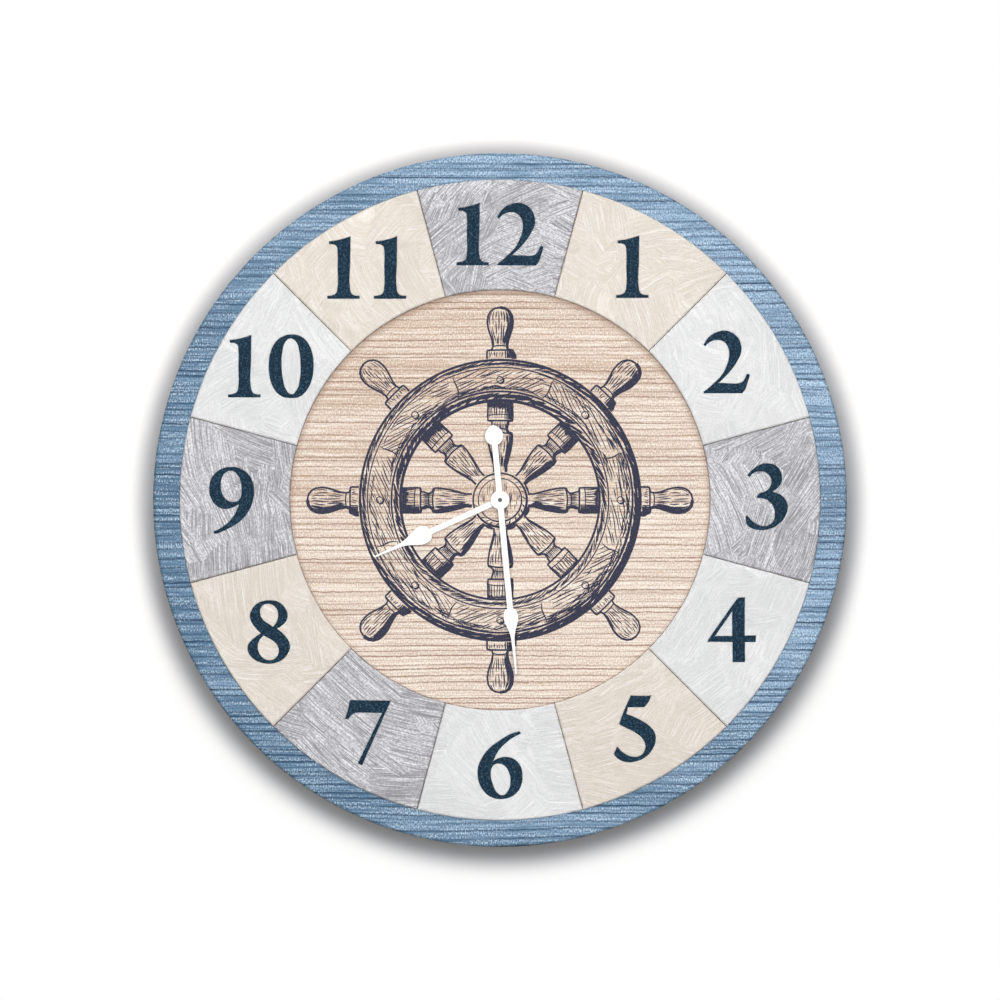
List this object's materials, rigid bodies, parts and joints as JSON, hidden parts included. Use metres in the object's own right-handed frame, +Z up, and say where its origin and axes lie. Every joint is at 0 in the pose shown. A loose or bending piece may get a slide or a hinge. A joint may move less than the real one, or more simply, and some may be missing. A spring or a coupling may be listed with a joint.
{
  "type": "wall clock",
  "caption": "Round wooden wall clock with raised keystone numeral tiles, a ship's-wheel centre disc and white spade hands, driven by a battery quartz movement on a keyhole hanger.",
  "frame": {"origin": "centre of the wide end of the hanger's keyhole, half way through its sheet", "axes": "+X to the viewer's right seen from the front, +Y from the dial back to the wall, +Z up"},
  "size_m": [0.3048, 0.0317, 0.3048],
  "materials": {
    "blue_stained_wood": "satin blue stain over open grain",
    "pale_wood": "matt pale pine with a printed ship's wheel",
    "plaster_cream": "matt brushed cream skim",
    "plaster_white": "matt brushed white skim",
    "plaster_grey": "matt brushed grey skim",
    "white_enamel": "satin white enamel",
    "brass": "turned brass",
    "zinc_plated_steel": "bright zinc plate",
    "black_rubber": "matt",
    "black_plastic": "fine matt mould grain",
    "white_gear_plastic": "natural acetal",
    "dark_gear_plastic": "black acetal",
    "yellow_gear_plastic": "tinted acetal",
    "green_gear_plastic": "tinted acetal",
    "magnet": "dark bonded magnet",
    "bright_iron": "bright annealed iron",
    "copper_wire": "enamelled copper",
    "circuit_laminate": "green laminate",
    "nickel_plate": "nickel plate",
    "black_resin": "gloss resin",
    "cell_jacket": "plain printed jacket with bare steel ends"
  },
  "bodies": {
    "clock": {"backboard": "blue_stained_wood", "centre_disc": "pale_wood", "tile_01": "plaster_cream", "tile_02": "plaster_white", "tile_03": "plaster_grey", "tile_04": "plaster_white", "tile_05": "plaster_cream", "tile_06": "plaster_white", "tile_07": "plaster_grey", "tile_08": "plaster_cream", "tile_09": "plaster_grey", "tile_10": "plaster_white", "tile_11": "plaster_cream", "tile_12": "plaster_grey", "wall_hanger": "zinc_plated_steel", "rubber_gasket": "black_rubber", "flat_washer": "brass", "hex_nut": "brass", "centre_bush": "brass", "movement_case": "black_plastic", "movement_cover": "black_plastic", "train_bridge": "white_gear_plastic", "stator_plate": "bright_iron", "coil_core": "bright_iron", "coil_bobbin": "white_gear_plastic", "coil_winding": "copper_wire", "circuit_board": "circuit_laminate", "quartz_crystal": "nickel_plate", "control_chip": "black_resin", "positive_contact": "nickel_plate", "negative_contact": "nickel_plate"},
    "minute_hand_body": {"minute_hand": "white_enamel", "minute_hand_collet": "brass", "minute_arbor": "dark_gear_plastic"},
    "hour_hand_body": {"hour_hand": "white_enamel", "hour_hand_collet": "brass", "hour_wheel": "white_gear_plastic"},
    "motion_wheel_body": {"motion_wheel": "green_gear_plastic"},
    "setting_knob_body": {"setting_knob": "black_plastic"},
    "step_wheel_body": {"step_wheel": "green_gear_plastic"},
    "rotor_body": {"rotor": "magnet"},
    "seconds_wheel_body": {"seconds_wheel": "dark_gear_plastic"},
    "third_wheel_body": {"third_wheel": "white_gear_plastic"},
    "drive_wheel_body": {"drive_wheel": "yellow_gear_plastic"},
    "cell_body": {"aa_cell": "cell_jacket"}
  },
  "joints": [
    {"name": "minute_hand_turn", "type": "hinge", "parent": "clock", "child": "minute_hand_body", "pos_m": [0, -0.007, -0.038], "axis": [0, 1, 0], "continuous": true},
    {"name": "hour_hand_turn", "type": "hinge", "parent": "clock", "child": "hour_hand_body", "pos_m": [0, -0.007, -0.038], "axis": [0, 1, 0], "continuous": true},
    {"name": "motion_wheel_turn", "type": "hinge", "parent": "clock", "child": "motion_wheel_body", "pos_m": [0.00956, -0.007, -0.03884], "axis": [0, 1, 0], "continuous": true},
    {"name": "setting_knob_turn", "type": "hinge", "parent": "clock", "child": "setting_knob_body", "pos_m": [0.01822, -0.007, -0.03384], "axis": [0, 1, 0], "continuous": true},
    {"name": "step_wheel_turn", "type": "hinge", "parent": "clock", "child": "step_wheel_body", "pos_m": [-0.00709, -0.007, -0.03675], "axis": [0, 1, 0], "continuous": true},
    {"name": "rotor_turn", "type": "hinge", "parent": "clock", "child": "rotor_body", "pos_m": [-0.01159, -0.007, -0.03139], "axis": [0, 1, 0], "continuous": true},
    {"name": "seconds_wheel_turn", "type": "hinge", "parent": "clock", "child": "seconds_wheel_body", "pos_m": [0, -0.007, -0.038], "axis": [0, 1, 0], "continuous": true},
    {"name": "third_wheel_turn", "type": "hinge", "parent": "clock", "child": "third_wheel_body", "pos_m": [0.00431, -0.007, -0.02876], "axis": [0, 1, 0], "continuous": true},
    {"name": "drive_wheel_turn", "type": "hinge", "parent": "clock", "child": "drive_wheel_body", "pos_m": [0, -0.007, -0.038], "axis": [0, 1, 0], "continuous": true},
    {"name": "cell_slide", "type": "slide", "parent": "clock", "child": "cell_body", "axis": [0, 1, 0], "range_m": [0, 0.02]}
  ],
  "couplings": [
    {"joint": "motion_wheel_turn", "follows": "minute_hand_turn", "ratio": -0.33333},
    {"joint": "hour_hand_turn", "follows": "minute_hand_turn", "ratio": 0.083333},
    {"joint": "setting_knob_turn", "follows": "minute_hand_turn", "ratio": 0.85714},
    {"joint": "rotor_turn", "follows": "step_wheel_turn", "ratio": -6},
    {"joint": "seconds_wheel_turn", "follows": "step_wheel_turn", "ratio": -0.2},
    {"joint": "third_wheel_turn", "follows": "step_wheel_turn", "ratio": 0.026667},
    {"joint": "drive_wheel_turn", "follows": "step_wheel_turn", "ratio": -0.0033333}
  ]
}
